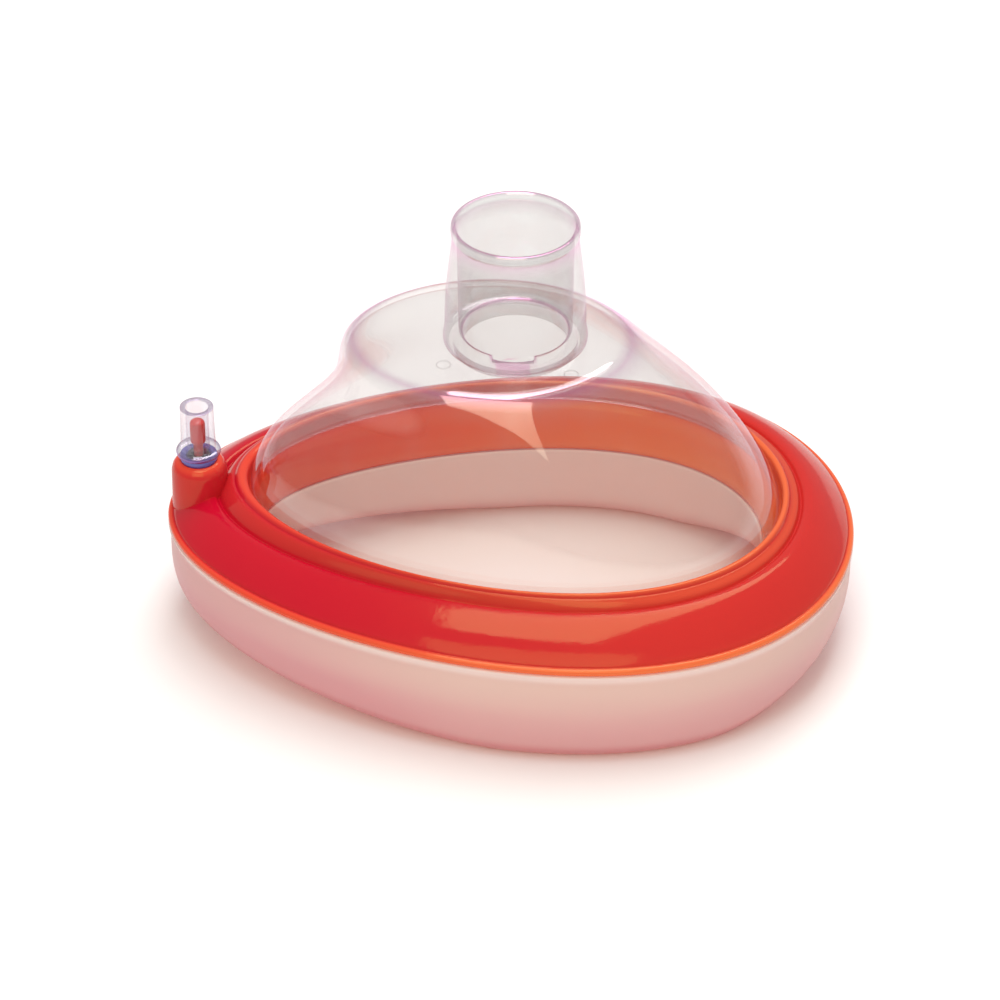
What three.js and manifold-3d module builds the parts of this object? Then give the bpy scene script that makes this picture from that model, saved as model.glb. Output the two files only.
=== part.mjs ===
// Face mask of a manual resuscitator: a clear dome with a 22 mm socket for the bag's patient
// valve, an inflatable cushion welded from two halves, and a spring-loaded inflation valve.
// Millimetres, +Z up, the nose towards -X and the chin towards +X. The mask stands on the
// cheeks of its cushion at z = 0, and is the same on both sides of the plane y = 0.
import * as THREE from 'three';
import * as BufferGeometryUtils from 'three/addons/utils/BufferGeometryUtils.js';
import Module from 'manifold-3d';

const wasm = await Module();
wasm.setup();

// ---- Driving dimensions ----

const AROUND = 64; // steps around the mask
const TURNED = 28; // steps around the small turned pieces
const GAP = 0.3; // glue or running gap between neighbours

const CUSHION_LENGTH = 133.6; // nose to chin at the weld seam
const CUSHION_WIDTH = 97; // cheek to cheek at the weld seam
const CUSHION_LEAN = -2.2; // shifts both ends of the seam towards the nose
const SEAM_Z = 22.2; // weld seam at the cheeks
const NOSE_RISE = 7; // the contoured cushion clears the table by this under the nose
const CHIN_RISE = 7; // and by this under the chin
const COLLAR_WALL = 1.4; // soft upper half
const MEMBRANE_WALL = 0.9; // soft lower half

const DOME_WALL = 1.3;
const PLATEAU_Z = 65.5; // flat top of the dome
const RIM_Z = 30.5; // top of the collar's rim, where the dome is bonded in
const BOND_DEPTH = 2.7; // how far the dome reaches down inside the rim

const SOCKET_X = 0.9; // axis of the 22 mm socket
const SOCKET_TOP = 90.7;
const SOCKET_MOUTH_R = 11.2; // 22 mm conical socket, 1 in 40 taper
const SOCKET_INNER_R = 10.95;
const PORT_R = 10.15; // narrow ring under the socket that stops the male cone
const SPIGOT_R = 12; // the part of the socket that sits in the dome

const VALVE_X = -61.2; // axis of the inflation valve
const STUB_TOP = 34.8; // top of the collar's boss around the valve
const STUB_R = 5.6;
const VALVE_TOP = 47.1;
const SYRINGE_BORE_R = 2.25; // takes the tip of a syringe
const INSERT_Z = 27.2; // bottom of the valve's insert in the boss

// ---- Curves around the mask ----

// A pear-shaped closed curve: angle 0 is the chin and PI the nose. wide makes the chin half
// fuller, lean shifts both ends, tilt raises the chin over the nose, lift raises both ends.
function ring({ x, halfLength, halfWidth, wide, lean = 0, z, tilt = 0, lift = 0 }) {
  return (angle) => {
    const c = Math.cos(angle);
    return new THREE.Vector3(
      x + halfLength * c + lean * Math.cos(2 * angle),
      halfWidth * Math.sin(angle) * (1 + wide * c),
      z + tilt * c + lift * c * c,
    );
  };
}

const seamLine = ring({
  x: -CUSHION_LEAN,
  halfLength: CUSHION_LENGTH / 2,
  halfWidth: CUSHION_WIDTH / 2,
  wide: 0.125,
  lean: CUSHION_LEAN,
  z: SEAM_Z,
  tilt: -0.7,
});
const grooveLine = ring({ x: -0.3, halfLength: 57.3, halfWidth: 38.2, wide: 0.23, z: 28.3 });
const rimLine = ring({
  x: 0.6,
  halfLength: 52.4,
  halfWidth: 35.2,
  wide: 0.18,
  lean: 0.3,
  z: RIM_Z,
  tilt: -1,
});
const innerEdge = ring({
  x: 0.2,
  halfLength: 49,
  halfWidth: 30.2,
  wide: 0.22,
  z: 17.6,
  tilt: -0.3,
  lift: 1.4,
});
const plateauLine = ring({ x: -3.4, halfLength: 24.3, halfWidth: 19.8, wide: 0, z: PLATEAU_Z });

// Height of the cushion's underside. The cheeks are flat on the table.
function restZ(angle) {
  const c = Math.cos(angle);
  const towardsNose = Math.max(0, (-0.08 - c) / 0.92);
  const towardsChin = Math.max(0, (c - 0.6) / 0.4);
  return NOSE_RISE * towardsNose ** 1.25 + CHIN_RISE * towardsChin ** 1.4;
}

// ---- Geometry helpers ----

// Sweeps a closed section once around. section(angle) gives its corners anticlockwise, seen
// with outwards to the right and +Z up.
function sweep(section, steps) {
  const loops = Array.from({ length: steps }, (_, i) => section((2 * Math.PI * i) / steps));
  const corners = loops[0].length;
  const indices = [];
  for (let i = 0; i < steps; i += 1) {
    for (let j = 0; j < corners; j += 1) {
      const here = i * corners;
      const next = ((i + 1) % steps) * corners;
      const k = (j + 1) % corners;
      indices.push(here + j, next + j, next + k, here + j, next + k, here + k);
    }
  }
  const geometry = new THREE.BufferGeometry();
  const points = loops.flat();
  geometry.setAttribute(
    'position',
    new THREE.Float32BufferAttribute(points.flatMap((p) => [p.x, p.y, p.z]), 3),
  );
  geometry.setIndex(indices);
  geometry.computeVertexNormals();
  return geometry;
}

// A hollow turned piece about the line x = axisX. The [radius, z] corners are anticlockwise.
function turnedRing(axisX, profile, steps = TURNED) {
  return sweep(
    (angle) =>
      profile.map(
        ([radius, z]) =>
          new THREE.Vector3(axisX + radius * Math.cos(angle), radius * Math.sin(angle), z),
      ),
    steps,
  );
}

// A solid turned piece, whose [radius, z] profile starts and ends on the axis, bottom first.
function turnedSolid(axisX, profile, steps = TURNED) {
  const points = profile.map(([radius, z]) => new THREE.Vector2(radius, z));
  const geometry = new THREE.LatheGeometry(points, steps);
  geometry.rotateX(Math.PI / 2);
  geometry.translate(axisX, 0, 0);
  return geometry;
}

// Gives an open line of [across, z] points a wall on its left-hand side, as a closed loop.
function thicken(line, wall) {
  const offset = line.map(([across, z], i) => {
    const before = line[Math.max(0, i - 1)];
    const after = line[Math.min(line.length - 1, i + 1)];
    const along = new THREE.Vector2(after[0] - before[0], after[1] - before[1]).normalize();
    return [across - along.y * wall, z + along.x * wall];
  });
  return [...line, ...offset.reverse()];
}

function toSolid(geometry) {
  const bare = geometry.clone();
  bare.deleteAttribute('normal');
  bare.deleteAttribute('uv');
  const merged = BufferGeometryUtils.mergeVertices(bare, 1e-4);
  return new wasm.Manifold(
    new wasm.Mesh({
      numProp: 3,
      vertProperties: new Float32Array(merged.attributes.position.array),
      triVerts: new Uint32Array(merged.index.array),
    }),
  );
}

function fromSolid(solid) {
  const mesh = solid.getMesh();
  const geometry = new THREE.BufferGeometry();
  geometry.setAttribute('position', new THREE.Float32BufferAttribute(mesh.vertProperties, 3));
  geometry.setIndex(new THREE.Uint32BufferAttribute(mesh.triVerts, 1));
  geometry.computeVertexNormals();
  return geometry;
}

const mask = new THREE.Group();
mask.name = 'face_mask';

function addPiece(name, geometry, { color, roughness, metalness = 0, opacity = 1 }) {
  const material = new THREE.MeshStandardMaterial({ color, roughness, metalness });
  material.transparent = opacity < 1;
  material.opacity = opacity;
  const mesh = new THREE.Mesh(geometry, material);
  mesh.name = name;
  mask.add(mesh);
}

// ---- Cushion ----

// The upright plane through the cushion at one angle. reach runs outwards in it from the
// inner edge, and is width at the seam.
function cushionPlane(angle) {
  const inner = innerEdge(angle);
  const seam = seamLine(angle);
  const outwards = new THREE.Vector3(seam.x - inner.x, seam.y - inner.y, 0);
  const width = outwards.length();
  outwards.normalize();
  return {
    width,
    innerZ: inner.z,
    seamZ: seam.z,
    reachOf: (point) => new THREE.Vector3().subVectors(point, inner).setZ(0).dot(outwards),
    place: ([reach, z]) =>
      new THREE.Vector3(inner.x + outwards.x * reach, inner.y + outwards.y * reach, z),
  };
}

// Upper half: an inner skirt, a raised rim that holds the dome, a groove, and a convex slope
// down to a bead at the seam.
function collarSection(angle) {
  const { width, innerZ, seamZ, reachOf, place } = cushionPlane(angle);
  const rimPoint = rimLine(angle);
  const groovePoint = grooveLine(angle);
  const rim = reachOf(rimPoint);
  const groove = reachOf(groovePoint);
  const rimZ = rimPoint.z;
  const grooveZ = groovePoint.z;
  const bead = groove - rim;

  const slope = (fraction, inset) => {
    const start = groove + 1.6;
    const foot = seamZ + 0.9;
    const fall = 1 - fraction ** 1.6;
    return [
      start + (width - inset - start) * fraction,
      foot + (grooveZ + 0.6 - inset - foot) * fall,
    ];
  };
  const steps = [0.15, 0.4, 0.65, 0.85, 0.97];

  return [
    [0, innerZ],
    [COLLAR_WALL, innerZ],
    [rim * 0.5 + COLLAR_WALL, (innerZ + rimZ - 3.6) / 2],
    [rim + 1, rimZ - 3.8],
    [rim + 1.4, rimZ - 1.3],
    [groove + 0.4, grooveZ - COLLAR_WALL],
    ...steps.map((fraction) => slope(fraction, COLLAR_WALL)),
    [width - COLLAR_WALL, seamZ - 0.5],
    [width + 0.3, seamZ - 0.5],
    [width + 0.6, seamZ + 0.1],
    [width + 0.3, seamZ + 0.7],
    ...steps.toReversed().map((fraction) => slope(fraction, 0)),
    slope(0, 0),
    [groove + 0.9, grooveZ + 0.3],
    [groove, grooveZ],
    [groove - 0.22 * bead, grooveZ + 0.3],
    [rim + 0.55 * bead, rimZ + 0.3],
    [rim + 0.32 * bead, rimZ + 0.7],
    [rim + 0.1 * bead, rimZ + 0.5],
    [rim, rimZ],
    [rim, rimZ - BOND_DEPTH - GAP],
    [rim - DOME_WALL - 0.5, rimZ - BOND_DEPTH - GAP],
  ].map(place);
}

// Lower half: a thin rounded trough from the skirt to the seam.
function membraneSection(angle) {
  const { width, innerZ, seamZ, place } = cushionPlane(angle);
  const rest = restZ(angle);
  const innerTop = innerZ - GAP;
  const outerTop = seamZ - 0.5 - GAP;
  const inside = (reach, height) => [reach * width, rest + (innerTop - rest) * height];
  const outside = (reach, height) => [reach * width, rest + (outerTop - rest) * height];
  const line = [
    inside(0, 1),
    inside(0.01, 0.8),
    inside(0.03, 0.55),
    inside(0.08, 0.3),
    inside(0.16, 0.11),
    inside(0.26, 0.02),
    inside(0.34, 0),
    outside(0.78, 0),
    outside(0.87, 0.02),
    outside(0.95, 0.09),
    outside(1.005, 0.24),
    outside(1.03, 0.45),
    outside(1.03, 0.7),
    outside(1.005, 1),
  ];
  return thicken(line, MEMBRANE_WALL).map(place);
}

// Boss on the collar that takes the inflation valve, with an air hole into the cushion.
function collar() {
  const nose = seamLine(Math.PI);
  const boss = turnedSolid(VALVE_X, [
    [0, nose.z - 0.1],
    [STUB_R - 0.2, nose.z - 0.1],
    [STUB_R, nose.z + 0.6],
    [STUB_R - 0.2, STUB_TOP - 2],
    [STUB_R - 0.6, STUB_TOP - 0.7],
    [STUB_R - 1.4, STUB_TOP],
    [0, STUB_TOP],
  ]);
  const bore = turnedSolid(VALVE_X, [
    [0, nose.z - 6],
    [1.5, nose.z - 6],
    [1.5, INSERT_Z - GAP],
    [3.6, INSERT_Z - GAP],
    [3.6, STUB_TOP + 1],
    [0, STUB_TOP + 1],
  ]);
  const body = toSolid(sweep(collarSection, AROUND));
  return fromSolid(body.add(toSolid(boss)).subtract(toSolid(bore)));
}

addPiece('cushion_collar', collar(), { color: 0xd8461f, roughness: 0.22, opacity: 0.85 });
addPiece('cushion_membrane', sweep(membraneSection, AROUND), {
  color: 0xefd0cb,
  roughness: 0.3,
  opacity: 0.6,
});

// ---- Dome ----

// Wall from the plateau to the rim, as [outwards, downwards] fractions of the way. The nose
// side steps down steeply, slopes along the nose and drops to the rim; the chin side is one
// long curve.
const NOSE_WALL = [
  [0, 0], [0.13, 0.01], [0.21, 0.05], [0.235, 0.15], [0.265, 0.3],
  [0.42, 0.465], [0.64, 0.61], [0.83, 0.72], [0.94, 0.84], [1, 1],
];
const CHEEK_WALL = [
  [0, 0], [0.08, 0.015], [0.18, 0.07], [0.3, 0.16], [0.44, 0.28],
  [0.58, 0.41], [0.71, 0.55], [0.83, 0.7], [0.93, 0.85], [1, 1],
];
const CHIN_WALL = [
  [0, 0], [0.07, 0.02], [0.18, 0.1], [0.3, 0.21], [0.43, 0.32],
  [0.55, 0.42], [0.68, 0.55], [0.8, 0.69], [0.91, 0.84], [1, 1],
];

// The dome's outer face where it enters the rim, a glue gap inside it.
function bondLine(angle) {
  const { reachOf, place } = cushionPlane(angle);
  const rim = rimLine(angle);
  return place([reachOf(rim) - 1.3 * GAP, rim.z]);
}

function domeSection(angle) {
  const top = plateauLine(angle);
  const rim = bondLine(angle);
  const outwards = new THREE.Vector3(rim.x - top.x, rim.y - top.y, 0);
  const run = outwards.length();
  outwards.normalize();
  const noseShare = Math.max(0, -Math.cos(angle)) ** 1.2;
  const chinShare = Math.max(0, Math.cos(angle)) ** 1.2;
  const cheekShare = 1 - noseShare - chinShare;
  const wall = CHEEK_WALL.map((cheek, i) => {
    const mix = (axis) =>
      cheek[axis] * cheekShare + NOSE_WALL[i][axis] * noseShare + CHIN_WALL[i][axis] * chinShare;
    return [run * mix(0), top.z + (rim.z - top.z) * mix(1)];
  });
  const foot = [run, rim.z - BOND_DEPTH];
  const flat = [-1, PLATEAU_Z];
  const loop = thicken([foot, ...wall.reverse(), flat], DOME_WALL);
  const upright = loop.map(([across, z]) => top.clone().addScaledVector(outwards, across).setZ(z));

  // The two corners on the flat top move in to the edge of the socket's hole.
  const holeR = SPIGOT_R + GAP;
  const edge = upright.filter((_, i) => loop[i][0] === -1);
  for (const corner of edge) {
    corner.x = SOCKET_X + holeR * Math.cos(angle);
    corner.y = holeR * Math.sin(angle);
  }
  return upright;
}

addPiece('dome_shell', sweep(domeSection, AROUND), {
  color: 0xe9e6e8,
  roughness: 0.08,
  opacity: 0.35,
});

// ---- Socket for the patient valve ----

// A cone that flares towards the dome, with a bead at its mouth and a spigot into the dome.
const socketTube = turnedRing(
  SOCKET_X,
  [
    [PORT_R, PLATEAU_Z - 1.9],
    [SPIGOT_R, PLATEAU_Z - 1.9],
    [SPIGOT_R, PLATEAU_Z + GAP],
    [13.9, PLATEAU_Z + GAP],
    [13.9, PLATEAU_Z + 1],
    [13.6, PLATEAU_Z + 2.4],
    [13.45, PLATEAU_Z + 9.5],
    [12.9, PLATEAU_Z + 15.5],
    [12, SOCKET_TOP - 2.2],
    [12.3, SOCKET_TOP - 1.8],
    [12.3, SOCKET_TOP - 0.3],
    [12, SOCKET_TOP],
    [SOCKET_MOUTH_R + 0.3, SOCKET_TOP],
    [SOCKET_MOUTH_R, SOCKET_TOP - 0.4],
    [SOCKET_INNER_R, PLATEAU_Z + 1.9],
    [PORT_R, PLATEAU_Z + 1.9],
  ],
  48,
);

// Keyway in the port ring, facing the right cheek.
const keyway = new THREE.BoxGeometry(8, 2.2, 3);
keyway.translate(SOCKET_X, -PORT_R - 0.1, PLATEAU_Z + 1.9);
const socket = fromSolid(toSolid(socketTube).subtract(toSolid(keyway)));
addPiece('connector_socket', socket, { color: 0xe9e6e8, roughness: 0.08, opacity: 0.35 });

// ---- Inflation valve ----

// Insert glued in the collar's boss. It holds the spring, over an air hole into the cushion.
const CHAMBER_R = 2.55;
const CHAMBER_FLOOR = 29.4;
const BASE_TOP = 36.1;
const valveBase = turnedRing(VALVE_X, [
  [1.1, INSERT_Z],
  [3.3, INSERT_Z],
  [3.3, STUB_TOP + GAP],
  [3.6, STUB_TOP + GAP],
  [3.6, BASE_TOP],
  [CHAMBER_R, BASE_TOP],
  [CHAMBER_R, CHAMBER_FLOOR],
  [1.1, CHAMBER_FLOOR],
]);
addPiece('valve_base', valveBase, { color: 0x5a66b8, roughness: 0.25, opacity: 0.7 });

// Clear body: a flange on the insert, a web that the plunger's head closes, and the bore
// that the syringe goes in.
const WEB_Z = BASE_TOP + GAP;
const WEB_HOLE_R = 1.4;
const valveBody = turnedRing(VALVE_X, [
  [WEB_HOLE_R, WEB_Z],
  [4.2, WEB_Z],
  [4.3, WEB_Z + 0.3],
  [4.3, WEB_Z + 1],
  [3.45, WEB_Z + 1.5],
  [3.3, VALVE_TOP],
  [SYRINGE_BORE_R, VALVE_TOP],
  [SYRINGE_BORE_R, WEB_Z + 1],
  [WEB_HOLE_R, WEB_Z + 1],
]);
addPiece('valve_body', valveBody, { color: 0xdfe0f0, roughness: 0.1, opacity: 0.4 });

// Red plunger: a head under the web, a neck through it, and a thicker rounded stem that a
// syringe pushes down against the spring.
const HEAD_Z = 33.9;
const NECK_R = 0.95;
const STEM_Z = 39;
const STEM_R = 1.5;
const STEM_TOP = 44;
const plunger = turnedSolid(VALVE_X, [
  [0, HEAD_Z],
  [2.2, HEAD_Z],
  [2.2, HEAD_Z + 0.8],
  [NECK_R, HEAD_Z + 0.9],
  [NECK_R, STEM_Z - 0.2],
  [STEM_R, STEM_Z],
  [STEM_R, STEM_TOP - 0.8],
  [STEM_R * 0.8, STEM_TOP - 0.25],
  [STEM_R * 0.4, STEM_TOP - 0.05],
  [0, STEM_TOP],
]);
addPiece('valve_plunger', plunger, { color: 0xd83a2e, roughness: 0.35 });

// Rubber washer on the plunger's head, under the web.
const seal = turnedRing(VALVE_X, [
  [NECK_R + 0.2, HEAD_Z + 1.1],
  [2.25, HEAD_Z + 1.1],
  [2.25, WEB_Z - 0.25],
  [NECK_R + 0.2, WEB_Z - 0.25],
]);
addPiece('valve_seal', seal, { color: 0x33353a, roughness: 0.7 });

// Spring between the insert's floor and the plunger's head.
class Helix extends THREE.Curve {
  constructor(radius, bottom, top, turns) {
    super();
    Object.assign(this, { radius, bottom, top, turns });
  }

  getPoint(t, target = new THREE.Vector3()) {
    const angle = 2 * Math.PI * this.turns * t;
    return target.set(
      VALVE_X + this.radius * Math.cos(angle),
      this.radius * Math.sin(angle),
      this.bottom + (this.top - this.bottom) * t,
    );
  }
}
const WIRE_R = 0.22;
const wire = new THREE.Shape().absarc(0, 0, WIRE_R, 0, 2 * Math.PI);
const springPath = new Helix(1.9, CHAMBER_FLOOR + WIRE_R + 0.15, HEAD_Z - WIRE_R - 0.2, 4);
const spring = new THREE.ExtrudeGeometry(wire, {
  extrudePath: springPath,
  steps: 48,
  curveSegments: 3,
});
addPiece('valve_spring', spring, { color: 0xb9bcc2, roughness: 0.3, metalness: 0.9 });

export default mask;
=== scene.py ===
# The face mask of a manual resuscitator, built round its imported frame: a clear dome with a
# conical socket, a two-part inflatable cushion and a spring-loaded inflation valve.
# Metres, +Z up, the nose towards -X, the chin towards +X, cheeks of the cushion at z = 0.
import math

import bmesh
import bpy
from mathutils import Matrix, Vector


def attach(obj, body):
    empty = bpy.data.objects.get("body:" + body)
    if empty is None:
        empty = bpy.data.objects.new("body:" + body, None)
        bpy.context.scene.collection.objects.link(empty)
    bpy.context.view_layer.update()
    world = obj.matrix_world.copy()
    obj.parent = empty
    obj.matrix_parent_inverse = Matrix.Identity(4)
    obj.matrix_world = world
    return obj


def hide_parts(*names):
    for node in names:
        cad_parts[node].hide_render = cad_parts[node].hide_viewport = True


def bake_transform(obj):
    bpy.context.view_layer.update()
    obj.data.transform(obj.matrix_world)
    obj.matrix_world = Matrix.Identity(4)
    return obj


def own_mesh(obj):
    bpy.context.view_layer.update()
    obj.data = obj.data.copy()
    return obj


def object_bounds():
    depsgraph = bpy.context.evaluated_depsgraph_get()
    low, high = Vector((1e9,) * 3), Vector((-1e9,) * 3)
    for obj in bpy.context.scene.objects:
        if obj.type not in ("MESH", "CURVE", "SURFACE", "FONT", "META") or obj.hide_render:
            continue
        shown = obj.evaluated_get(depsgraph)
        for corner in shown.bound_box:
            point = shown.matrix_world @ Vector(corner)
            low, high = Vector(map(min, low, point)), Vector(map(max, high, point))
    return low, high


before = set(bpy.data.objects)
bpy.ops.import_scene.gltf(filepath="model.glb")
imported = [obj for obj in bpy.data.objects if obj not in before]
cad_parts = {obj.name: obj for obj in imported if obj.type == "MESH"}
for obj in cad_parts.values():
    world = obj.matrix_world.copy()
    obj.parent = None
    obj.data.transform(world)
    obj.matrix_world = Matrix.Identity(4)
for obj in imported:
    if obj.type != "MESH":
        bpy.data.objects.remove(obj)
frame_low, frame_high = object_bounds()

# ---- Camera ----
# A long lens in front of the mask's near cheek and a touch towards the chin, looking down at
# about 35 degrees.
MM = 0.001
CAMERA_TURN = math.radians(2.77)
CAMERA_HEIGHT = math.radians(35.41)
CAMERA_DISTANCE = 885 * MM
frame_middle = (frame_low + frame_high) / 2
look_at = Vector((frame_middle.x - 2.06 * MM, frame_middle.y - 0.1 * MM, 26.85 * MM))
back = Vector(
    (
        math.sin(CAMERA_TURN) * math.cos(CAMERA_HEIGHT),
        -math.cos(CAMERA_TURN) * math.cos(CAMERA_HEIGHT),
        math.sin(CAMERA_HEIGHT),
    )
)
camera_data = bpy.data.cameras.new("camera")
camera_data.lens = 162
camera_data.sensor_width = 36
camera_data.clip_start = 0.01
camera = bpy.data.objects.new("camera", camera_data)
camera.location = look_at + back * CAMERA_DISTANCE
camera.rotation_euler = (-back).to_track_quat("-Z", "Y").to_euler()
bpy.context.collection.objects.link(camera)
bpy.context.scene.camera = camera
bpy.context.scene.view_settings.view_transform = "Standard"

# Light crosses up to sixteen faces of clear plastic on its way through the mask.
bpy.context.scene.cycles.max_bounces = 20
bpy.context.scene.cycles.transmission_bounces = 20
bpy.context.scene.cycles.transparent_max_bounces = 24


# ---- Shader nodes ----
# The table is the first thing with a finish, so what every finish is written with stands
# here: Value is a number that varies over a surface, and Finish is one material.
class Value:
    """A node's output. Arithmetic on it adds Math nodes."""

    def __init__(self, finish, socket):
        self.finish = finish
        self.socket = socket

    def maths(self, operation, first, second=0.0):
        return self.finish.node(
            "ShaderNodeMath", "Value", {"operation": operation}, {0: first, 1: second}
        )

    def __add__(self, other):
        return self.maths("ADD", self, other)

    def __sub__(self, other):
        return self.maths("SUBTRACT", self, other)

    def __rsub__(self, other):
        return self.maths("SUBTRACT", other, self)

    def __mul__(self, other):
        return self.maths("MULTIPLY", self, other)

    def __pow__(self, other):
        return self.maths("POWER", self, other)

    __radd__ = __add__
    __rmul__ = __mul__


class Finish:
    """One material: a Principled shader with its constants, and nodes for what varies."""

    def __init__(self, name, **constants):
        self.material = bpy.data.materials.new(name)
        self.material.use_nodes = True
        self.tree = self.material.node_tree
        self.shader = self.tree.nodes["Principled BSDF"]
        self.output = self.tree.nodes["Material Output"]
        self.surface = Value(self, self.shader.outputs["BSDF"])
        for socket, value in constants.items():
            self.shader.inputs[socket.replace("_", " ")].default_value = value

    def node(self, kind, output, settings, inputs):
        made = self.tree.nodes.new(kind)
        for setting, value in settings.items():
            setattr(made, setting, value)
        for socket, value in inputs.items():
            self.feed(made.inputs[socket], value)
        return Value(self, made.outputs[output])

    def feed(self, socket, value):
        if isinstance(value, Value):
            self.tree.links.new(value.socket, socket)
        elif isinstance(value, tuple) and socket.type == "RGBA":
            socket.default_value = (*value, 1)
        else:
            socket.default_value = value

    def varies(self, socket, value):
        self.feed(self.shader.inputs[socket], value)

    def place(self):
        return self.node("ShaderNodeTexCoord", "Object", {}, {})

    def along(self, axis):
        return self.node("ShaderNodeSeparateXYZ", axis, {}, {"Vector": self.place()})

    def noise(self, scale, detail=3.0, stretch=(1, 1, 1)):
        stretched = self.node(
            "ShaderNodeMapping", "Vector", {}, {"Vector": self.place(), "Scale": stretch}
        )
        return self.node(
            "ShaderNodeTexNoise",
            "Fac",
            {},
            {"Vector": stretched, "Scale": scale, "Detail": detail, "Roughness": 0.55},
        )

    def between(self, value, low, high):
        """0 where value is at low, 1 where it is at high, smooth between them."""
        return self.node(
            "ShaderNodeMapRange",
            "Result",
            {"interpolation_type": "SMOOTHSTEP"},
            {"Value": value, "From Min": low, "From Max": high},
        )

    def mix(self, first, second, share):
        return self.node("ShaderNodeMix", 2, {"data_type": "RGBA"}, {0: share, 6: first, 7: second})

    def bump(self, height, depth):
        self.varies(
            "Normal",
            self.node("ShaderNodeBump", "Normal", {}, {"Height": height, "Distance": depth}),
        )

    def mix_surface(self, other, share):
        self.surface = self.node(
            "ShaderNodeMixShader", "Shader", {}, {0: share, 1: self.surface, 2: other}
        )
        self.tree.links.new(self.surface.socket, self.output.inputs["Surface"])

    def glow_through(self, tint, share):
        """Thin vinyl shows some of the light that falls on its other side."""
        lit_behind = self.node("ShaderNodeBsdfTranslucent", "BSDF", {}, {"Color": tint})
        self.mix_surface(lit_behind, share)

    def pass_light(self, tint, share=1.0):
        """Lamp light comes through, coloured by tint, as it does through clear or thin vinyl."""
        lamp = self.node("ShaderNodeLightPath", "Is Shadow Ray", {}, {})
        clear = self.node("ShaderNodeBsdfTransparent", "BSDF", {}, {"Color": tint})
        self.mix_surface(clear, lamp * share)


# ---- Table and light ----
# A white table top, a long soft box overhead, a weaker and warmer one in front, and a pale
# room all round.
TABLE_REACH = 4.0
TABLE_Z = -0.1 * MM

table_mesh = bpy.data.meshes.new("table_top")
table_form = bmesh.new()
bmesh.ops.create_circle(table_form, cap_ends=True, segments=96, radius=TABLE_REACH)
table_form.to_mesh(table_mesh)
table_form.free()
table_top = bpy.data.objects.new("table_top", table_mesh)
table_top.location.z = TABLE_Z
bpy.context.collection.objects.link(table_top)

paper = Finish("white_paper", Roughness=0.9, Specular_IOR_Level=0.1)
paper.varies("Base Color", paper.mix((0.93, 0.92, 0.92), (0.9, 0.89, 0.89), paper.noise(40)))
table_mesh.materials.append(paper.material)


def soft_box(name, width, length, power, place, aim, colour=(1, 1, 1)):
    lamp_data = bpy.data.lights.new(name, "AREA")
    lamp_data.color = colour
    lamp_data.shape = "RECTANGLE"
    lamp_data.size = width
    lamp_data.size_y = length
    lamp_data.energy = power
    lamp = bpy.data.objects.new(name, lamp_data)
    lamp.location = place
    lamp.rotation_euler = (Vector(aim) - Vector(place)).to_track_quat("-Z", "Y").to_euler()
    bpy.context.collection.objects.link(lamp)


soft_box("soft_box_above", 0.5, 1.3, 8.8, (0.06, 0.2, 1.0), (0, 0, 0.03))
soft_box("soft_box_front", 0.76, 0.62, 2.9, (-0.08, -0.74, 0.70), (0, 0, 0.05), (1, 0.9, 0.66))

room = bpy.data.worlds.new("room")
room.use_nodes = True
room.node_tree.nodes["Background"].inputs["Color"].default_value = (1, 0.985, 0.98, 1)
room.node_tree.nodes["Background"].inputs["Strength"].default_value = 0.52
bpy.context.scene.world = room


# ---- Cushion collar ----
# The cushion's upper half, moulded in glossy orange vinyl. A raised rim holds the dome, and
# a convex slope runs down to a bead, where the pale lower half is welded on.
SEAM_Z = 22.2
RIM_Z = 30.5
COLLAR_WALL = 1.4
BOND_DEPTH = 3.0
DOME_WALL = 1.3
CUSHION_STEPS = 96


def ring(x, half_length, half_width, wide, z, lean=0.0, tilt=0.0, lift=0.0):
    """A pear-shaped closed curve: angle 0 is the chin and pi the nose."""

    def at(angle):
        c = math.cos(angle)
        return Vector(
            (
                x + half_length * c + lean * math.cos(2 * angle),
                half_width * math.sin(angle) * (1 + wide * c),
                z + tilt * c + lift * c * c,
            )
        )

    return at


seam_line = ring(2.2, 66.8, 48.5, 0.125, SEAM_Z, lean=-2.2, tilt=-0.7)
groove_line = ring(-0.3, 57.3, 38.2, 0.23, 28.3)
rim_line = ring(0.6, 52.4, 35.2, 0.18, RIM_Z, lean=0.3, tilt=-1)
inner_edge = ring(0.2, 49, 30.2, 0.22, 17.6, tilt=-0.3, lift=1.4)


class Across:
    """The upright plane through the cushion at one angle. Reach runs outwards from the inner
    edge, and is width at the seam."""

    def __init__(self, angle):
        self.inner = inner_edge(angle)
        self.seam = seam_line(angle)
        self.outwards = self.seam - self.inner
        self.outwards.z = 0
        self.width = self.outwards.length
        self.outwards.normalize()

    def reach(self, point):
        return (point - self.inner).xy.dot(self.outwards.xy)

    def point(self, reach, z):
        flat = self.inner + self.outwards * reach
        return Vector((flat.x, flat.y, z))


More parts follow.
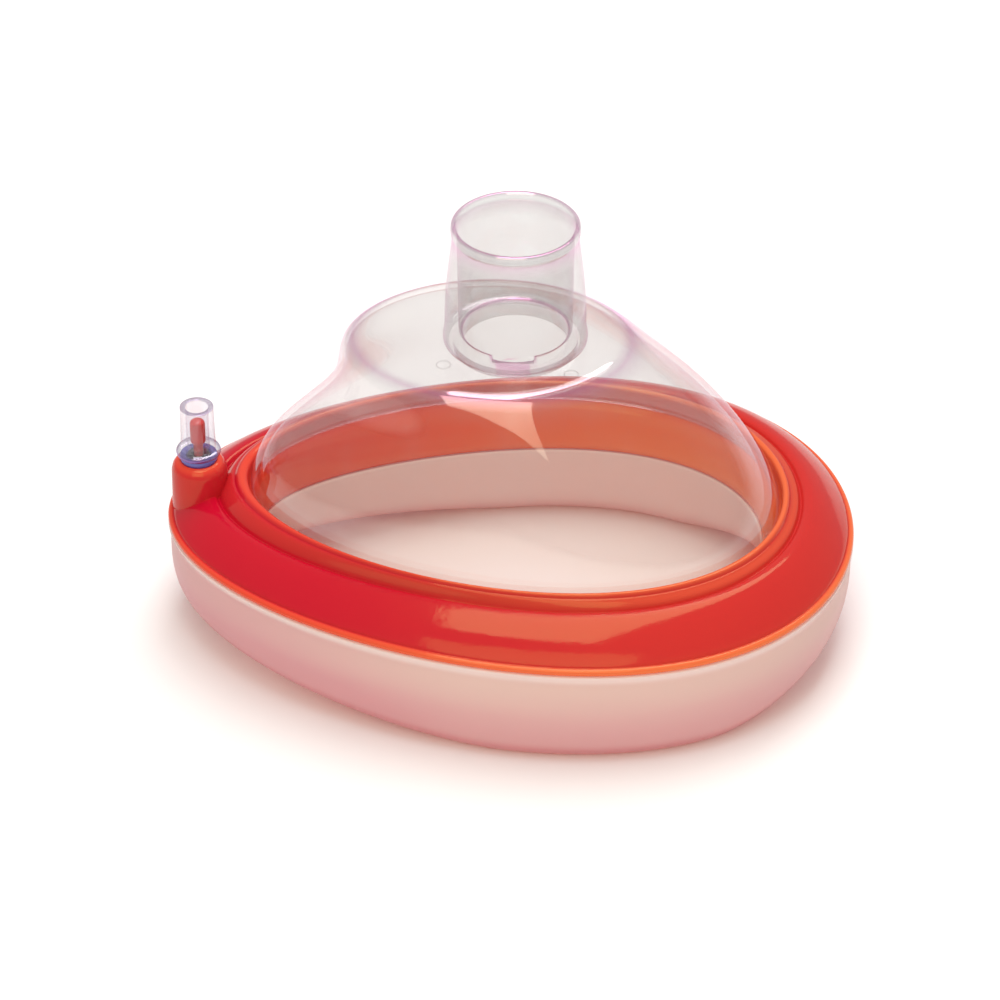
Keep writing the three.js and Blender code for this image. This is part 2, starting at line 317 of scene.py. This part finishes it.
def loft(name, loops, marks=None, finish=None, joined=True):
    """A mesh skinned over loops of points in mm. marks gives each loop point's edge value."""
    mesh = bpy.data.meshes.new(name)
    count = len(loops[0])
    points = [point * MM for loop in loops for point in loop]
    faces = []
    for i in range(len(loops)):
        here = i * count
        after = (i + 1) % len(loops) * count
        for j in range(count if joined else count - 1):
            k = (j + 1) % count
            faces.append((here + j, after + j, after + k, here + k))
    mesh.from_pydata(points, [], faces)
    if marks:
        edge = mesh.attributes.new("edge", "FLOAT", "POINT")
        edge.data.foreach_set("value", list(marks) * len(loops))
    form = bmesh.new()
    form.from_mesh(mesh)
    bmesh.ops.remove_doubles(form, verts=form.verts, dist=1e-7)
    bmesh.ops.recalc_face_normals(form, faces=form.faces)
    form.to_mesh(mesh)
    form.free()
    piece = bpy.data.objects.new(name, mesh)
    bpy.context.collection.objects.link(piece)
    if finish:
        mesh.materials.append(finish.material)
    return piece


def change(piece, kind, **settings):
    """Puts one modifier on the piece and applies it."""
    modifier = piece.modifiers.new(kind.lower(), kind)
    for setting, value in settings.items():
        setattr(modifier, setting, value)
    bpy.context.view_layer.update()
    graph = bpy.context.evaluated_depsgraph_get()
    changed = bpy.data.meshes.new_from_object(piece.evaluated_get(graph))
    piece.modifiers.clear()
    piece.data = changed
    return piece


def smooth(piece, sharp_over=40):
    piece.data.shade_smooth()
    piece.data.set_sharp_from_angle(angle=math.radians(sharp_over))
    return piece


def around(section, steps):
    return [section(2 * math.pi * i / steps) for i in range(steps)]


def turned(name, axis_x, profile, steps, finish, bevel=0.0, marks=None):
    """A turned piece about an upright axis. The profile is a closed loop of (radius, z) in mm,
    or starts and ends on the axis."""

    def section(angle):
        way = Vector((math.cos(angle), math.sin(angle), 0))
        return [Vector((axis_x, 0, z)) + way * radius for radius, z in profile]

    piece = loft(name, around(section, steps), marks, finish, joined=profile[0][0] > 0)
    if bevel:
        change(
            piece,
            "BEVEL",
            width=bevel * MM,
            segments=3,
            limit_method="ANGLE",
            angle_limit=math.radians(28),
        )
    return smooth(piece)


def collar_section(angle):
    across = Across(angle)
    width = across.width
    seam_z = across.seam.z
    inner_z = across.inner.z
    rim = across.reach(rim_line(angle))
    rim_z = rim_line(angle).z
    groove = across.reach(groove_line(angle))
    groove_z = groove_line(angle).z
    bead = groove - rim

    def slope(share, inset):
        start = groove + 1.6
        foot = seam_z + 0.9
        return (
            start + (width - inset - start) * share,
            foot + (groove_z + 0.6 - inset - foot) * (1 - share**1.6),
        )

    shares = (0.15, 0.4, 0.65, 0.85, 0.97)
    outline = [
        (0, inner_z - 0.25),
        (COLLAR_WALL, inner_z - 0.25),
        (rim * 0.5 + COLLAR_WALL, (inner_z + rim_z - 3.6) / 2),
        (rim + 1, rim_z - 3.8),
        (rim + 1.4, rim_z - 1.3),
        (groove + 0.4, groove_z - COLLAR_WALL),
        *(slope(share, COLLAR_WALL) for share in shares),
        (width - COLLAR_WALL, seam_z - 0.7),
        (width + 0.5, seam_z - 0.7),
        (width + 1.0, seam_z + 0.0),
        (width + 0.7, seam_z + 0.75),
        (width + 0.1, seam_z + 0.9),
        (width - 0.25, seam_z + 0.75),
        *(slope(share, 0) for share in reversed(shares)),
        slope(0, 0),
        (groove + 0.55, groove_z + 0.5),
        (groove + 0.25, groove_z - 0.2),
        (groove - 0.05, groove_z - 0.3),
        (groove - 0.3, groove_z + 0.1),
        (groove - 0.6, groove_z + 0.75),
        (rim + 0.62 * bead, rim_z - 0.35),
        (rim + 0.5 * bead, rim_z - 0.05),
        (rim + 0.44 * bead, rim_z - 0.1),
        (rim + 0.38 * bead, rim_z + 0.55),
        (rim + 0.26 * bead, rim_z + 0.8),
        (rim + 0.08 * bead, rim_z + 0.6),
        (rim - 0.05, rim_z - 0.1),
        (rim, rim_z - BOND_DEPTH),
        (rim - DOME_WALL - 0.5, rim_z - BOND_DEPTH),
    ]
    return [across.point(reach, z) for reach, z in outline]


# Painted light at each point of the outline: the base colour turns a paler, lit orange where light
# shows through the thin seam bead, where the rim bead is painted with a highlight, and on the
# inner skirt's lip, painted paler where it sits in shade. The slope gets none.
SKIRT_PAINTED_LIGHT = [1.0, 0.5] + [0.0] * 9
BEAD_PAINTED_LIGHT = [0.4, 0.7, 0.8, 0.8, 0.6, 0.1, 0.05]
SLOPE_PAINTED_LIGHT = [0.0] * 5
GROOVE_PAINTED_LIGHT = [0.0, 0.0, 0.0, 0.1, 0.25, 0.3, 0.2]
RIM_PAINTED_HIGHLIGHT = [0.0, 0.3, 0.7, 0.7, 0.3, 0.5, 0.9]
COLLAR_PAINTED_LIGHT = SKIRT_PAINTED_LIGHT + BEAD_PAINTED_LIGHT + SLOPE_PAINTED_LIGHT + GROOVE_PAINTED_LIGHT + RIM_PAINTED_HIGHLIGHT

orange_vinyl = Finish(
    "orange_vinyl", IOR=1.5, Specular_IOR_Level=0.5, Specular_Tint=(0.75, 0.85, 0.36, 1)
)
# Painted light: the edge attribute mixes the base colour towards a paler, lit orange on the bead,
# the rim and the skirt's lip.
painted_light = orange_vinyl.node("ShaderNodeAttribute", "Fac", {"attribute_name": "edge"}, {})
mottle = orange_vinyl.noise(55, 4)
towards_nose = orange_vinyl.between(orange_vinyl.along("X"), 0.04, -0.05)
crimson = towards_nose * 0.8 + mottle * 0.2
body_orange = orange_vinyl.mix((0.64, 0.035, 0.036), (0.58, 0.0, 0.03), crimson)
painted_lit_orange = orange_vinyl.mix((0.9, 0.2, 0.06), (0.78, 0.07, 0.03), towards_nose)
orange_vinyl.varies("Base Color", orange_vinyl.mix(body_orange, painted_lit_orange, painted_light))
orange_vinyl.varies("Roughness", 0.05 + orange_vinyl.noise(160) * 0.08)
orange_vinyl.bump(orange_vinyl.noise(900, 2) * 0.15 + orange_vinyl.noise(60, 2), 0.1 * MM)
orange_vinyl.glow_through((1.0, 0.24, 0.05), 0.32 - painted_light * 0.28 - towards_nose * 0.1)
orange_vinyl.pass_light((1.0, 0.34, 0.2), 0.4)

collar = loft(
    "cushion_collar_vinyl", around(collar_section, CUSHION_STEPS), COLLAR_PAINTED_LIGHT, orange_vinyl
)
change(collar, "SUBSURF", levels=2, render_levels=2)

# The boss for the inflation valve, moulded with the collar: rounded shoulders, a bore for the
# valve's insert and an air hole into the cushion.
VALVE_X = -61.2
BOSS_R = 5.6
BOSS_TOP = 34.8
INSERT_Z = 27.2
TURNED_STEPS = 72
nose_z = seam_line(math.pi).z

boss = turned(
    "boss",
    VALVE_X,
    [
        (0, nose_z - 0.1),
        (BOSS_R - 0.2, nose_z - 0.1),
        (BOSS_R, nose_z + 0.6),
        (BOSS_R - 0.15, BOSS_TOP - 2.2),
        (BOSS_R - 0.45, BOSS_TOP - 1.1),
        (BOSS_R - 1.0, BOSS_TOP - 0.35),
        (BOSS_R - 1.7, BOSS_TOP),
        (3.4, BOSS_TOP + 0.02),
        (0, BOSS_TOP),
    ],
    TURNED_STEPS,
    orange_vinyl,
)
bore = turned(
    "bore",
    VALVE_X,
    [
        (0, nose_z - 6),
        (1.5, nose_z - 6),
        (1.5, INSERT_Z - 0.3),
        (3.6, INSERT_Z - 0.3),
        (3.6, BOSS_TOP + 1),
        (0, BOSS_TOP + 1),
    ],
    TURNED_STEPS,
    orange_vinyl,
)
change(collar, "BOOLEAN", operation="UNION", solver="EXACT", object=boss)
change(collar, "BOOLEAN", operation="DIFFERENCE", solver="EXACT", object=bore)
bpy.data.objects.remove(boss)
bpy.data.objects.remove(bore)
# Painted light on the boss: its edge value rises towards the rounded top, so the base colour is
# painted paler where light falls from above.
for vertex, mark in zip(collar.data.vertices, collar.data.attributes["edge"].data):
    if math.hypot(vertex.co.x - VALVE_X * MM, vertex.co.y) < (BOSS_R + 0.1) * MM:
        mark.value = 0.2 + 0.6 * max(0, (vertex.co.z / MM - BOSS_TOP + 1.4) / 1.4)
smooth(collar, 35)
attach(collar, "mask_shell")
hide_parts("cushion_collar")


# ---- Cushion membrane ----
# The cushion's lower half, a thin trough of soft pale vinyl, welded to the collar. It holds
# air and sits on the face. The real one gives when the mask is pressed down; this one is
# built at rest.
MEMBRANE_WALL = 0.9
NOSE_RISE = 7
CHIN_RISE = 7


def rest_z(angle):
    """Height of the cushion's underside: the cheeks are flat on the table."""
    c = math.cos(angle)
    to_nose = max(0, (-0.08 - c) / 0.92)
    to_chin = max(0, (c - 0.6) / 0.4)
    return NOSE_RISE * to_nose**1.25 + CHIN_RISE * to_chin**1.4


def thicken(line, wall):
    """Gives an open line of (across, z) points a wall on its left-hand side."""
    offset = []
    for i, (reach, z) in enumerate(line):
        before = line[max(0, i - 1)]
        after = line[min(len(line) - 1, i + 1)]
        along = Vector((after[0] - before[0], after[1] - before[1])).normalized()
        offset.append((reach - along.y * wall, z + along.x * wall))
    return [*line, *reversed(offset)]


def membrane_section(angle):
    across = Across(angle)
    rest = rest_z(angle)
    inner_top = across.inner.z + 0.05
    outer_top = across.seam.z - 0.6
    inside = (
        (0.0, 1),
        (0.01, 0.8),
        (0.03, 0.55),
        (0.08, 0.3),
        (0.16, 0.11),
        (0.26, 0.02),
        (0.34, 0),
    )
    outside = (
        (0.78, 0),
        (0.87, 0.02),
        (0.95, 0.09),
        (1.005, 0.24),
        (1.03, 0.45),
        (1.03, 0.7),
        (1.015, 0.88),
    )
    line = [(reach * across.width, rest + (inner_top - rest) * height) for reach, height in inside]
    line += [(reach * across.width, rest + (outer_top - rest) * height) for reach, height in outside]
    loop = thicken(line, MEMBRANE_WALL)
    weld = [
        (across.width + 0.75, outer_top - 0.9),
        (across.width + 0.95, outer_top - 0.45),
        (across.width + 0.7, outer_top - 0.05),
        (across.width - 1.2, outer_top - 0.05),
    ]
    loop[len(line) : len(line)] = weld
    return [across.point(reach, z) for reach, z in loop]


pink_vinyl = Finish("pale_pink_vinyl", IOR=1.5, Specular_Tint=(1.0, 0.92, 0.94, 1))
streaks = pink_vinyl.noise(14, 4, (1, 1, 9))
nose_end = pink_vinyl.between(pink_vinyl.along("X"), 0.0, -0.055)
low_band = pink_vinyl.between(pink_vinyl.along("Z") + (streaks - 0.5) * 0.008, 0.0185, 0.006)
pinkness = low_band * 0.7 + nose_end * 0.6 + streaks * 0.2
pink_tone = pink_vinyl.mix((0.88, 0.78, 0.7), (0.78, 0.47, 0.51), pinkness)
# Painted shade and light: the edge attribute darkens the contact crease under the outer wall and
# lightens the inner wall.
painted_shade_and_light = pink_vinyl.node("ShaderNodeAttribute", "Fac", {"attribute_name": "edge"}, {})
painted_contact_shade = pink_vinyl.mix(pink_tone, (0.62, 0.22, 0.28), pink_vinyl.between(painted_shade_and_light, 0.3, 1.0) * 0.6)
with_paler_lip_and_painted_light = pink_vinyl.mix(painted_contact_shade, (0.99, 0.97, 0.93), pink_vinyl.between(painted_shade_and_light, -0.1, -0.8))
pink_vinyl.varies("Base Color", with_paler_lip_and_painted_light)
pink_vinyl.varies("Roughness", 0.14 + pink_vinyl.noise(90) * 0.14)
pink_vinyl.bump(pink_vinyl.noise(25, 2, (1, 1, 5)), 0.3 * MM)
pink_vinyl.glow_through((1.0, 0.76, 0.7), 0.42)
pink_vinyl.pass_light((1.0, 0.7, 0.66), 0.55)

# Painted shade and light: where the outer wall folds under onto the table it is painted darker (1),
# as shade in the contact crease; the inner wall is painted paler (-1), as if more lit, and the
# weld's lip is paler too (-1).
INNER_WALL_PAINTED_LIGHT = [-1, -1, -1, -0.7, -0.4, -0.4, -0.3]
OUTER_WALL_PAINTED_SHADE = [0, 0.5, 1, 0.1, 0, 0, 0]
WELD_LIP = [-0.8, -1, -1, -0.5]
AIR_SIDE = [0] * (len(INNER_WALL_PAINTED_LIGHT) + len(OUTER_WALL_PAINTED_SHADE))
MEMBRANE_SHADE_AND_LIGHT = INNER_WALL_PAINTED_LIGHT + OUTER_WALL_PAINTED_SHADE + WELD_LIP + AIR_SIDE
membrane = loft(
    "cushion_membrane_vinyl",
    around(membrane_section, CUSHION_STEPS),
    MEMBRANE_SHADE_AND_LIGHT,
    pink_vinyl,
)
change(membrane, "SUBSURF", levels=2, render_levels=2)
smooth(membrane)
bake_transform(membrane)
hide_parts("cushion_membrane")


# ---- Dome ----
# A hard clear shell moulded in one piece. Its flat top carries the socket, its nose side
# steps down steeply, and its foot is bonded inside the collar's rim.
PLATEAU_Z = 65.5
SOCKET_X = 0.9
SPIGOT_R = 12.0
DOME_STEPS = 128
plateau_line = ring(-3.4, 24.3, 19.8, 0, PLATEAU_Z)

# Wall from the flat top to the rim, as (outwards, downwards) shares of the way.
NOSE_WALL = [(0, 0), (0.13, 0.01), (0.21, 0.05), (0.235, 0.15), (0.265, 0.3)]
NOSE_WALL += [(0.42, 0.465), (0.64, 0.61), (0.83, 0.72), (0.94, 0.84), (1, 1)]
CHEEK_WALL = [(0, 0), (0.08, 0.015), (0.18, 0.07), (0.3, 0.16), (0.44, 0.28)]
CHEEK_WALL += [(0.58, 0.41), (0.71, 0.55), (0.83, 0.7), (0.93, 0.85), (1, 1)]
CHIN_WALL = [(0, 0), (0.07, 0.02), (0.18, 0.1), (0.3, 0.21), (0.43, 0.32)]
CHIN_WALL += [(0.55, 0.42), (0.68, 0.55), (0.8, 0.69), (0.91, 0.84), (1, 1)]


def dome_section(angle):
    top = plateau_line(angle)
    across = Across(angle)
    rim = across.point(across.reach(rim_line(angle)) - 0.35, rim_line(angle).z)
    outwards = rim - top
    outwards.z = 0
    run = outwards.length
    outwards.normalize()
    drop = rim.z - top.z
    nose = max(0, -math.cos(angle)) ** 1.2
    chin = max(0, math.cos(angle)) ** 1.2
    cheek = 1 - nose - chin
    wall = []
    for n, s, c in zip(NOSE_WALL, CHEEK_WALL, CHIN_WALL):
        out = n[0] * nose + s[0] * cheek + c[0] * chin
        down = n[1] * nose + s[1] * cheek + c[1] * chin
        wall.append((run * out, top.z + drop * down))
    foot = (run, rim.z - 2.7)
    line = [foot, *reversed(wall), (-0.6, PLATEAU_Z), (-1.2, PLATEAU_Z)]
    loop = thicken(line, DOME_WALL)
    points = []
    for reach, z in loop:
        point = top + outwards * reach
        if reach == -1.2:
            hole = SPIGOT_R + 0.1
            point = Vector((SOCKET_X + hole * math.cos(angle), hole * math.sin(angle), 0))
        points.append(Vector((point.x, point.y, z)))
    return points


def clear_plastic(name, tint, edge_colour, lamp_tint, grain):
    """Hard clear plastic: each face lets most light straight on, mirrors a little face-on and
    much at a slant, and shows its tint along its edges and where the wall is seen end on."""
    finish = Finish(name, Metallic=1.0)
    slant = finish.node("ShaderNodeLayerWeight", "Facing", {}, {"Blend": 0.5})
    edge = finish.node("ShaderNodeAttribute", "Fac", {"attribute_name": "edge"}, {})
    tinted = slant.maths("MINIMUM", slant**4.0 * 0.8 + edge, 1.0)
    finish.varies("Base Color", finish.mix((0.94, 0.935, 0.935), edge_colour, tinted))
    finish.varies("Roughness", 0.015 + finish.noise(grain) * 0.03 + edge * 0.1)
    finish.bump(finish.noise(grain, 2, (1, 1, 0.2)), 0.08 * MM)
    see_through = finish.node("ShaderNodeBsdfTransparent", "BSDF", {}, {"Color": tint})
    flow_marks = finish.noise(grain * 3, 3, (1, 1, 0.06)) ** 3.0
    mirrored = 0.045 + flow_marks * 0.06 + slant**4.0 * 0.65 + edge * 0.5
    finish.mix_surface(see_through, 1 - slant.maths("MINIMUM", mirrored, 0.9))
    finish.pass_light(lamp_tint)
    return finish


clear_vinyl = clear_plastic(
    "clear_dome_plastic",
    tint=(0.95, 0.95, 0.95),
    edge_colour=(0.82, 0.28, 0.66),
    lamp_tint=(0.88, 0.8, 0.74),
    grain=45,
)

# The outline's points from the foot up the outer face, over the flat top, and back inside:
# the tint shows at the foot and where the wall turns into the flat top.
OUTER_EDGES = [0.3, 0.1, 0, 0, 0, 0, 0, 0.0, 0.1, 0.75, 0.1, 0, 0]
DOME_EDGES = OUTER_EDGES + [0.0] * len(OUTER_EDGES)
dome = loft("dome_clear_shell", around(dome_section, DOME_STEPS), DOME_EDGES, clear_vinyl)
change(dome, "SUBSURF", levels=2, render_levels=2)
smooth(dome)
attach(dome, "mask_shell")
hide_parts("dome_shell")

# Two round witness marks that the mould's ejector pins leave on the flat top.
MARK_FROM_AXIS = 17.0
MARK_R = 1.5
for mark_angle in (219, 311):
    turn = math.radians(mark_angle)
    mark_x = SOCKET_X + MARK_FROM_AXIS * math.cos(turn)
    mark_y = MARK_FROM_AXIS * math.sin(turn)
    mark = turned(
        "dome_pin_mark_" + str(mark_angle),
        mark_x,
        [
            (MARK_R - 0.3, PLATEAU_Z - 0.02),
            (MARK_R, PLATEAU_Z - 0.02),
            (MARK_R - 0.08, PLATEAU_Z + 0.16),
            (MARK_R - 0.22, PLATEAU_Z + 0.16),
        ],
        48,
        clear_vinyl,
    )
    mark.data.transform(Matrix.Translation((0, mark_y * MM, 0)))
    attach(mark, "mask_shell")


# ---- Connector socket ----
# The conical socket that the bag's patient valve pushes into: clear and hard, a bead at the
# mouth, a narrow port ring at the foot with a keyway, and a spigot bonded into the dome.
SOCKET_TOP = 90.7
PORT_R = 10.15

# The tint along the socket's outline, point by point: port ring, foot, cone, bead and mouth.
SOCKET_EDGES = [0.0, 0.1, 0.0, 0.3, 0.3, 0.0, 0, 0, 0, 0, 0, 0.6, 0.1, 0.0, 0.2, 0.8, 0.8, 0.2]
SOCKET_EDGES += [0.0, 0.0, 0.0, 0.3, 0.1, 0.8, 1.0, 0.0]
clear_hard = clear_plastic(
    "clear_socket_plastic",
    tint=(0.87, 0.867, 0.867),
    edge_colour=(0.76, 0.2, 0.55),
    lamp_tint=(0.95, 0.93, 0.94),
    grain=90,
)

socket_tube = turned(
    "connector_socket_clear",
    SOCKET_X,
    [
        (PORT_R, PLATEAU_Z - 1.9),
        (SPIGOT_R, PLATEAU_Z - 1.9),
        (SPIGOT_R, PLATEAU_Z + 0.1),
        (13.9, PLATEAU_Z + 0.1),
        (13.9, PLATEAU_Z + 1),
        (13.6, PLATEAU_Z + 2.4),
        (13.55, PLATEAU_Z + 6),
        (13.4, PLATEAU_Z + 9.5),
        (13.2, PLATEAU_Z + 12.5),
        (12.85, PLATEAU_Z + 15.8),
        (12.4, PLATEAU_Z + 19.5),
        (12.05, SOCKET_TOP - 2.2),
        (12.3, SOCKET_TOP - 1.8),
        (12.38, SOCKET_TOP - 1.1),
        (12.3, SOCKET_TOP - 0.3),
        (12, SOCKET_TOP),
        (11.5, SOCKET_TOP),
        (11.2, SOCKET_TOP - 0.4),
        (11.19, SOCKET_TOP - 1.0),
        (10.97, PLATEAU_Z + 3.8),
        (10.96, PLATEAU_Z + 2.7),
        (10.95, PLATEAU_Z + 2.0),
        (10.8, PLATEAU_Z + 1.9),
        (PORT_R + 0.35, PLATEAU_Z + 1.9),
        (PORT_R, PLATEAU_Z + 1.6),
        (PORT_R, PLATEAU_Z + 0.9),
    ],
    144,
    clear_hard,
    bevel=0.12,
    marks=SOCKET_EDGES,
)
keyway_mesh = bpy.data.meshes.new("keyway")
keyway_form = bmesh.new()
bmesh.ops.create_cube(keyway_form, size=1)
bmesh.ops.scale(keyway_form, vec=Vector((8, 1.7, 1.6)) * MM, verts=keyway_form.verts)
keyway_place = Vector((SOCKET_X, -PORT_R + 0.15, PLATEAU_Z + 1.5)) * MM
bmesh.ops.translate(keyway_form, vec=keyway_place, verts=keyway_form.verts)
bmesh.ops.bevel(
    keyway_form, geom=keyway_form.edges[:], offset=0.3 * MM, segments=3, profile=0.5, affect="EDGES"
)
keyway_form.to_mesh(keyway_mesh)
keyway_form.free()
keyway = bpy.data.objects.new("keyway", keyway_mesh)
bpy.context.collection.objects.link(keyway)
change(socket_tube, "BOOLEAN", operation="DIFFERENCE", solver="EXACT", object=keyway)
bpy.data.objects.remove(keyway)
for vertex, mark in zip(socket_tube.data.vertices, socket_tube.data.attributes["edge"].data):
    inside_bore = math.hypot(vertex.co.x - SOCKET_X * MM, vertex.co.y) < 10.9 * MM
    if inside_bore and (vertex.co - keyway_place).length < 4.6 * MM:
        mark.value = max(mark.value, 0.9)
smooth(socket_tube)
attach(socket_tube, "mask_shell")
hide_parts("connector_socket")


# ---- Inflation valve ----
# A blue insert glued in the boss, a clear body on it that takes a syringe's tip, and inside
# them a red plunger with a rubber washer, held shut by a steel spring.
BASE_TOP = 36.1
CHAMBER_R = 2.55
CHAMBER_FLOOR = 29.4
WEB_Z = 36.4
WEB_HOLE_R = 1.4
VALVE_TOP = 47.1
HEAD_Z = 33.9
NECK_R = 0.95
STEM_Z = 39.0
STEM_R = 1.5
STEM_TOP = 44.0

blue_plastic = Finish(
    "violet_blue_plastic",
    IOR=1.5,
    Transmission_Weight=0.55,
    Coat_Weight=0.3,
    Coat_Roughness=0.05,
)
blue_tone = blue_plastic.mix((0.16, 0.22, 0.72), (0.28, 0.26, 0.78), blue_plastic.noise(700))
blue_plastic.varies("Base Color", blue_tone)
blue_plastic.varies("Roughness", 0.12 + blue_plastic.noise(500) * 0.15)
blue_plastic.bump(blue_plastic.noise(1500, 2), 0.03 * MM)
blue_plastic.pass_light((0.55, 0.55, 0.95), 0.5)

insert = turned(
    "valve_insert_blue",
    VALVE_X,
    [
        (1.1, INSERT_Z),
        (3.3, INSERT_Z),
        (3.3, BOSS_TOP + 0.1),
        (3.6, BOSS_TOP + 0.1),
        (3.75, BOSS_TOP + 0.6),
        (3.6, BASE_TOP),
        (CHAMBER_R, BASE_TOP),
        (CHAMBER_R, CHAMBER_FLOOR),
        (1.1, CHAMBER_FLOOR),
    ],
    TURNED_STEPS,
    blue_plastic,
    bevel=0.1,
)
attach(insert, "mask_shell")
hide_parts("valve_base")

clear_valve = clear_plastic(
    "clear_valve_plastic",
    tint=(0.94, 0.925, 0.95),
    edge_colour=(0.3, 0.16, 0.42),
    lamp_tint=(0.92, 0.88, 0.95),
    grain=400,
)

valve_body = turned(
    "valve_body_clear",
    VALVE_X,
    [
        (WEB_HOLE_R, WEB_Z - 0.2),
        (4.1, WEB_Z - 0.2),
        (4.35, WEB_Z + 0.1),
        (4.4, WEB_Z + 0.55),
        (4.2, WEB_Z + 0.95),
        (3.6, WEB_Z + 1.15),
        (3.45, WEB_Z + 1.6),
        (3.31, VALVE_TOP - 0.4),
        (3.3, VALVE_TOP),
        (2.25, VALVE_TOP),
        (2.25, VALVE_TOP - 0.4),
        (2.25, WEB_Z + 1),
        (WEB_HOLE_R, WEB_Z + 1),
    ],
    TURNED_STEPS,
    clear_valve,
    bevel=0.14,
    marks=[0, 0.5, 1, 1, 0.6, 0.3, 0.1, 0, 0.9, 0.9, 0, 0, 0],
)
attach(valve_body, "mask_shell")
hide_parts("valve_body")

red_plastic = Finish("red_plunger_plastic", IOR=1.48, Coat_Weight=0.25, Coat_Roughness=0.1)
red_tone = red_plastic.mix((0.72, 0.05, 0.03), (0.5, 0.02, 0.02), red_plastic.noise(500, 3))
red_plastic.varies("Base Color", red_tone)
red_plastic.varies("Roughness", 0.3 + red_plastic.noise(900) * 0.2)
red_plastic.bump(red_plastic.noise(1800, 2), 0.02 * MM)

plunger = turned(
    "valve_plunger_red",
    VALVE_X,
    [
        (0, HEAD_Z),
        (2.2, HEAD_Z),
        (2.2, HEAD_Z + 0.8),
        (NECK_R, HEAD_Z + 0.9),
        (NECK_R, STEM_Z - 0.2),
        (STEM_R, STEM_Z),
        (STEM_R, STEM_TOP - 0.9),
        (STEM_R * 0.92, STEM_TOP - 0.5),
        (STEM_R * 0.7, STEM_TOP - 0.2),
        (STEM_R * 0.4, STEM_TOP - 0.05),
        (0, STEM_TOP),
    ],
    TURNED_STEPS,
    red_plastic,
    bevel=0.08,
)
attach(plunger, "plunger")
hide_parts("valve_plunger")

rubber = Finish("black_rubber", IOR=1.45)
rubber.varies("Base Color", rubber.mix((0.03, 0.03, 0.034), (0.06, 0.06, 0.065), rubber.noise(900)))
rubber.varies("Roughness", 0.6 + rubber.noise(1200) * 0.25)
rubber.bump(rubber.noise(2500, 3), 0.03 * MM)

washer = turned(
    "valve_seal_washer",
    VALVE_X,
    [
        (NECK_R + 0.2, HEAD_Z + 1.1),
        (2.25, HEAD_Z + 1.1),
        (2.25, WEB_Z - 0.3),
        (NECK_R + 0.2, WEB_Z - 0.3),
    ],
    TURNED_STEPS,
    rubber,
    bevel=0.2,
)
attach(washer, "plunger")
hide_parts("valve_seal")

# The spring: four open turns of round steel wire, standing on the insert's floor.
WIRE_R = 0.22
SPRING_R = 1.9
SPRING_TURNS = 4
SPRING_BOTTOM = CHAMBER_FLOOR + WIRE_R + 0.15
SPRING_RISE = HEAD_Z - WIRE_R - 0.2 - SPRING_BOTTOM
TURN_STEPS = 28
WIRE_STEPS = 12

spring_steel = Finish("spring_steel", Metallic=1.0)
steel_tone = spring_steel.mix((0.62, 0.62, 0.64), (0.42, 0.42, 0.45), spring_steel.noise(1200))
spring_steel.varies("Base Color", steel_tone)
spring_steel.varies("Roughness", 0.2 + spring_steel.noise(1600) * 0.2)
spring_steel.bump(spring_steel.noise(3000, 2), 0.01 * MM)

wire_points = []
wire_faces = []
wire_count = SPRING_TURNS * TURN_STEPS + 1
for i in range(wire_count):
    turn = 2 * math.pi * i / TURN_STEPS
    rise = SPRING_BOTTOM + SPRING_RISE * i / (wire_count - 1)
    away = Vector((math.cos(turn), math.sin(turn), 0))
    middle = Vector((VALVE_X, 0, rise)) + away * SPRING_R
    for j in range(WIRE_STEPS):
        side = 2 * math.pi * j / WIRE_STEPS
        offset = away * math.cos(side) * WIRE_R + Vector((0, 0, math.sin(side) * WIRE_R))
        wire_points.append((middle + offset) * MM)
        if i:
            here = i * WIRE_STEPS
            k = (j + 1) % WIRE_STEPS
            wire_faces.append((here + j, here + k, here + k - WIRE_STEPS, here + j - WIRE_STEPS))
wire_faces.append(tuple(range(WIRE_STEPS)))
wire_faces.append(tuple(reversed(range(len(wire_points) - WIRE_STEPS, len(wire_points)))))
spring_mesh = bpy.data.meshes.new("valve_spring_wire")
spring_mesh.from_pydata(wire_points, [], wire_faces)
spring_mesh.materials.append(spring_steel.material)
spring = bpy.data.objects.new("valve_spring_wire", spring_mesh)
bpy.context.collection.objects.link(spring)
smooth(spring)
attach(spring, "mask_shell")
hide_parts("valve_spring")
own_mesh(spring)
